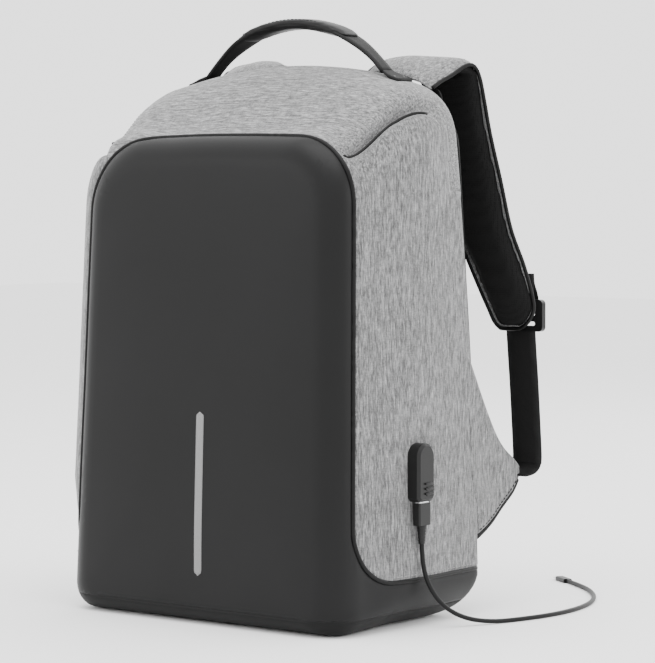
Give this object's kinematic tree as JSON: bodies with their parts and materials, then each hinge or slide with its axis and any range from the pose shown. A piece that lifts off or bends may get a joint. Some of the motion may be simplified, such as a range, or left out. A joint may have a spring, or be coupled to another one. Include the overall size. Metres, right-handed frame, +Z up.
{
  "type": "backpack",
  "caption": "Hard-fronted anti-theft rucksack that opens at the padded back, with a side USB charging port and a short charging lead.",
  "frame": {"origin": "middle of the flat underside, on the surface the bag stands on", "axes": "+Z up, the front panel looks along -Y, +X is to the right seen from the front, on the side of the charging port"},
  "size_m": [0.3795, 0.4116, 0.497],
  "materials": {
    "black_pu": "satin coated cloth, smooth",
    "grey_melange": "matte melange twill with darker slubs",
    "back_mesh": "matte spacer mesh over foam",
    "black_webbing": "matte woven nylon",
    "piping": "satin",
    "reflective": "satin retro-reflective tape",
    "stiff_board": "matte polyethylene board",
    "lining_fabric": "matte polyester lining",
    "black_plastic": "satin moulded",
    "plated_steel": "bright nickel plate",
    "white_plastic": "satin",
    "cable_jacket": "satin",
    "zip_tape": "matte woven tape with coil teeth",
    "zip_metal": "gunmetal",
    "zip_pull": "satin"
  },
  "bodies": {
    "shell": {"base_panel": "black_pu", "front_panel": "black_pu", "lower_back_panel": "back_mesh", "top_panel": "grey_melange", "side_panel_left": "grey_melange", "side_panel_right": "grey_melange", "lining": "lining_fabric", "front_piping": "piping", "reflective_strip": "reflective", "front_stiffener": "stiff_board", "base_board": "stiff_board", "organiser_pocket": "lining_fabric", "power_bank_pocket": "lining_fabric", "usb_housing": "black_plastic", "usb_socket_shell": "plated_steel", "usb_socket_tongue": "white_plastic", "usb_backing_plate": "black_plastic", "usb_screws": "plated_steel", "usb_inner_cable": "cable_jacket", "inner_plug": "black_plastic", "inner_plug_shell": "plated_steel", "charging_plug": "black_plastic", "charging_plug_shell": "plated_steel", "plug_relief": "black_plastic", "charging_cable": "cable_jacket", "phone_connector": "black_plastic", "phone_connector_tip": "plated_steel", "zip_tape_shell": "zip_tape", "handle_anchor_left": "black_webbing", "handle_anchor_right": "black_webbing"},
    "back": {"zip_tape_back": "zip_tape", "back_board": "stiff_board", "back_panel": "back_mesh", "laptop_sleeve": "lining_fabric", "lumbar_pad": "back_mesh", "yoke": "back_mesh", "luggage_strap": "black_webbing", "back_pad_left": "back_mesh", "wing_left": "grey_melange", "shoulder_strap_left": "back_mesh", "strap_tab_left": "black_webbing", "adjuster_webbing_left": "black_webbing", "back_pad_right": "back_mesh", "wing_right": "grey_melange", "shoulder_strap_right": "back_mesh", "strap_tab_right": "black_webbing", "adjuster_webbing_right": "black_webbing"},
    "handle": {"carry_handle": "black_webbing"},
    "zip_slider_left": {"zip_slider_left": "zip_metal"},
    "zip_pull_left": {"zip_pull_left": "zip_pull"},
    "ladder_lock_left": {"ladder_lock_left": "black_plastic"},
    "zip_slider_right": {"zip_slider_right": "zip_metal"},
    "zip_pull_right": {"zip_pull_right": "zip_pull"},
    "ladder_lock_right": {"ladder_lock_right": "black_plastic"}
  },
  "joints": [
    {"name": "back_open", "type": "hinge", "parent": "shell", "child": "back", "pos_m": [0, 0.09685, 0.062], "axis": [-1, 0, 0], "range_deg": [0, 80]},
    {"name": "handle_flop", "type": "hinge", "parent": "shell", "child": "handle", "pos_m": [0, 0.042, 0.455], "axis": [1, 0, 0], "range_deg": [-25, 70]},
    {"name": "zip_run_left", "type": "hinge", "parent": "shell", "child": "zip_slider_left", "pos_m": [0, 0.0628, 0.0505], "axis": [0, -1, 0], "range_deg": [0, 4]},
    {"name": "zip_pull_lift_left", "type": "hinge", "parent": "zip_slider_left", "child": "zip_pull_left", "pos_m": [-0.013, 0.0675, 0.4566], "axis": [1, 0, 0], "range_deg": [0, 50]},
    {"name": "ladder_lock_tilt_left", "type": "hinge", "parent": "back", "child": "ladder_lock_left", "pos_m": [-0.15, 0.158, 0.2605], "axis": [1, 0, 0], "range_deg": [0, 25]},
    {"name": "zip_run_right", "type": "hinge", "parent": "shell", "child": "zip_slider_right", "pos_m": [0, 0.0628, 0.0505], "axis": [0, 1, 0], "range_deg": [0, 4]},
    {"name": "zip_pull_lift_right", "type": "hinge", "parent": "zip_slider_right", "child": "zip_pull_right", "pos_m": [0.013, 0.0675, 0.4566], "axis": [1, 0, 0], "range_deg": [0, 50]},
    {"name": "ladder_lock_tilt_right", "type": "hinge", "parent": "back", "child": "ladder_lock_right", "pos_m": [0.15, 0.158, 0.2605], "axis": [1, 0, 0], "range_deg": [0, 25]}
  ]
}
